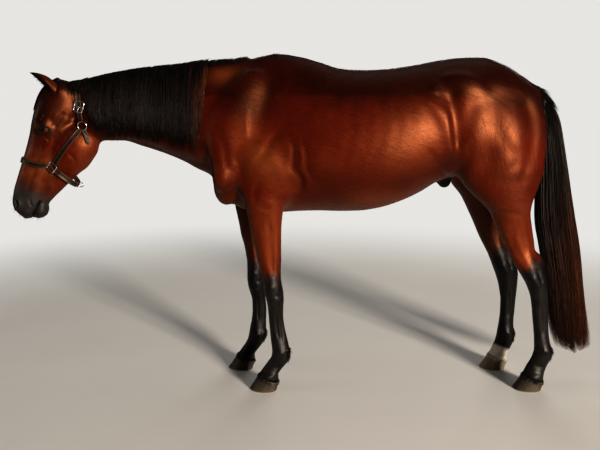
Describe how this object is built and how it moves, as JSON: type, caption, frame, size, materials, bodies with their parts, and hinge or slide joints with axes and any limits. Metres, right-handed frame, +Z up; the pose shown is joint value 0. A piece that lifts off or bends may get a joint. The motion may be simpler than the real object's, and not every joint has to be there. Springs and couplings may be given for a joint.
{
  "type": "standing horse",
  "caption": "Standing riding horse with its head lowered and its tail hanging, wearing a leather head halter.",
  "frame": {"origin": "on the floor, under the middle of the horse's box", "axes": "+Z up, the horse looks along -X, its left side is -Y"},
  "size_m": [2.8248, 0.5762, 1.5769],
  "materials": {
    "bay_coat": "short glossy red-brown coat, black below the knees and hocks",
    "dark_skin": "bare dark skin",
    "black_hair": "long coarse black hair",
    "hoof_horn": "dull dark horn",
    "eye_dark": "wet and glossy",
    "halter_leather": "dark brown oiled leather",
    "halter_steel": "bright nickel"
  },
  "bodies": {
    "root": {"trunk": "bay_coat", "neck": "bay_coat", "head": "bay_coat", "ear_left": "bay_coat", "ear_right": "bay_coat", "leg_fore_left": "bay_coat", "leg_fore_right": "bay_coat", "leg_hind_left": "bay_coat", "leg_hind_right": "bay_coat", "sheath": "dark_skin", "tail_dock": "dark_skin", "mane": "black_hair", "forelock": "black_hair", "tail_hair": "black_hair", "hoof_fore_left": "hoof_horn", "hoof_fore_right": "hoof_horn", "hoof_hind_left": "hoof_horn", "hoof_hind_right": "hoof_horn", "eye_left": "eye_dark", "eye_right": "eye_dark", "halter_noseband": "halter_leather", "halter_chin": "halter_leather", "halter_cheek_left": "halter_leather", "halter_cheek_right": "halter_leather", "halter_crown": "halter_leather", "halter_strap_end": "halter_leather", "halter_side_ring_left": "halter_steel", "halter_side_ring_right": "halter_steel", "halter_cheek_ring_left": "halter_steel", "halter_cheek_ring_right": "halter_steel", "halter_buckle": "halter_steel"}
  },
  "joints": []
}
